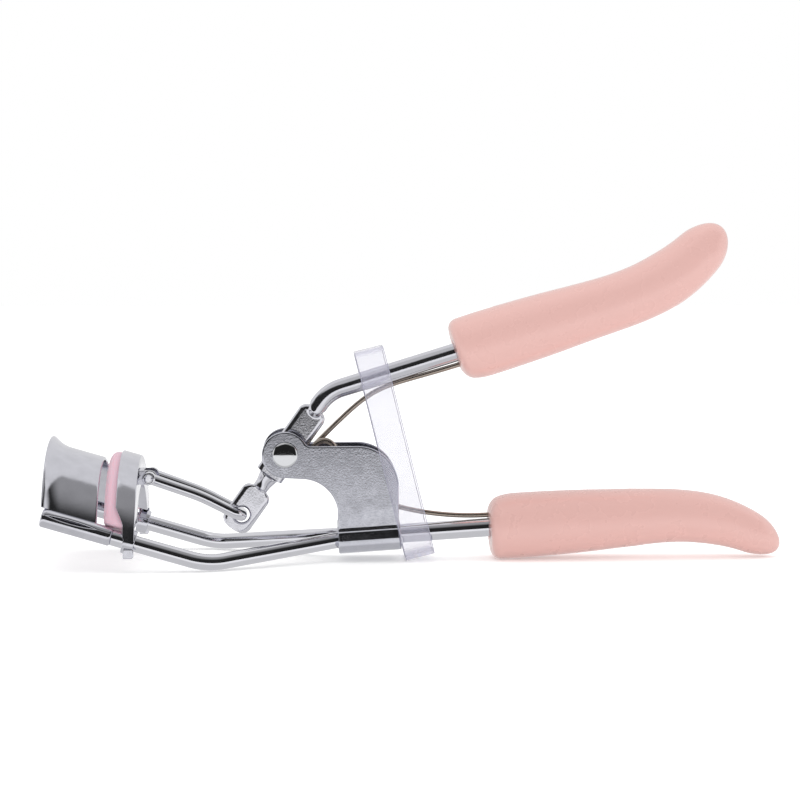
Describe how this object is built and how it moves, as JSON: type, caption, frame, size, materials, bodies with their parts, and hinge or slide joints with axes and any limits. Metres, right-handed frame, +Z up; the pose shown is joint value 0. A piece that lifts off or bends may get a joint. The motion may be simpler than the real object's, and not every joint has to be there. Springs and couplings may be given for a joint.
{
  "type": "eyelash curler",
  "caption": "Hand-held eyelash curler: arched jaws on a wire frame, pad-faced sliding jaw driven by a lever, sprung handles with moulded grips and a clear retaining band.",
  "frame": {"origin": "on the surface the curler stands on, below the middle of its length and width", "axes": "+X from the jaws to the grips, +Z up from the standing surface, Y along the pivot rivet"},
  "size_m": [0.1247, 0.0326, 0.0573],
  "materials": {
    "jaw_chrome": "pressed steel sheet, bright chrome plated",
    "wire_chrome": "drawn steel wire, bright chrome plated",
    "lever_chrome": "forged steel rod, tumbled and chrome plated",
    "bracket_chrome": "pressed steel sheet, tumbled and chrome plated",
    "rivet_chrome": "polished steel rivet head",
    "spacer_steel": "turned steel",
    "grip_plastic": "moulded plastic, pale pink, glossy",
    "pad_silicone": "moulded silicone, pink, soft satin",
    "spring_wire": "nickel plated spring wire, slightly brown",
    "clear_film": "clear soft plastic film"
  },
  "bodies": {
    "frame": {"front_jaw": "jaw_chrome", "rail_left": "wire_chrome", "rail_right": "wire_chrome", "bracket": "bracket_chrome", "handle_rod": "wire_chrome", "lower_grip": "grip_plastic", "pivot_rivet": "rivet_chrome", "spacer_left": "spacer_steel", "spacer_right": "spacer_steel", "return_spring": "spring_wire", "retainer_band": "clear_film"},
    "lever": {"lever_arm": "lever_chrome", "upper_grip": "grip_plastic"},
    "jaw": {"moving_jaw": "jaw_chrome", "silicone_pad": "pad_silicone", "hinge_lug": "jaw_chrome", "yoke_pin": "wire_chrome"},
    "yoke": {"yoke_wire": "wire_chrome"}
  },
  "joints": [
    {"name": "lever_pivot", "type": "hinge", "parent": "frame", "child": "lever", "pos_m": [-0.02215, 0, 0.01813], "axis": [0, 1, 0], "range_deg": [-30, 4.3], "stiffness_Nm_per_rad": 0.15, "deforming": ["return_spring", "retainer_band"]},
    {"name": "jaw_slide", "type": "slide", "parent": "frame", "child": "jaw", "axis": [-0.9598, 0, 0.2807], "range_m": [-0.0067, 0.00097]},
    {"name": "yoke_hinge", "type": "hinge", "parent": "jaw", "child": "yoke", "pos_m": [-0.0449, 0, 0.01423], "axis": [0, 1, 0], "range_deg": [-0.5, 2.6]}
  ],
  "couplings": [
    {"joint": "jaw_slide", "follows": "lever_pivot", "m_per_rad": 0.01265},
    {"joint": "yoke_hinge", "follows": "lever_pivot", "ratio": -0.08}
  ]
}
